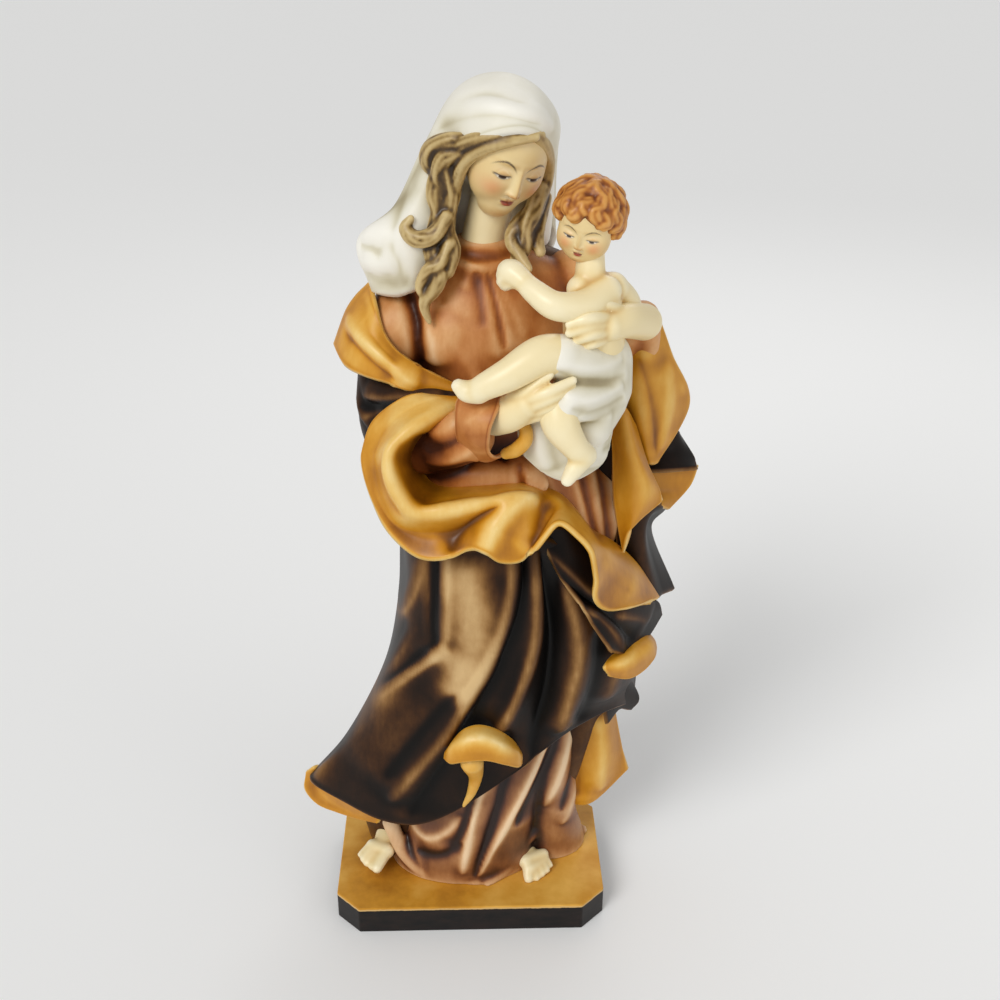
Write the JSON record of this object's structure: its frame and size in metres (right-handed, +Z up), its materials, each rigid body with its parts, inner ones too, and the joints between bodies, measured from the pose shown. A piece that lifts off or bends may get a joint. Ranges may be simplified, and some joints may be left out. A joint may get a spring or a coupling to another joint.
{
  "type": "virgin and child statue",
  "caption": "Carved and painted wooden statue of a veiled mother in a wide mantle holding a small child, standing on a chamfered plinth.",
  "frame": {"origin": "middle of the plinth's underside, which is the surface the statue stands on", "axes": "+Z up, front of the statue towards -Y, +X to the right of someone who looks at its front"},
  "size_m": [0.1843, 0.1132, 0.3997],
  "materials": {
    "figure": "painted and antiqued carving with a satin varnish",
    "plinth": "ochre painted top with dark brown sides, satin"
  },
  "bodies": {
    "root": {"figure": "figure", "plinth": "plinth"}
  },
  "joints": []
}
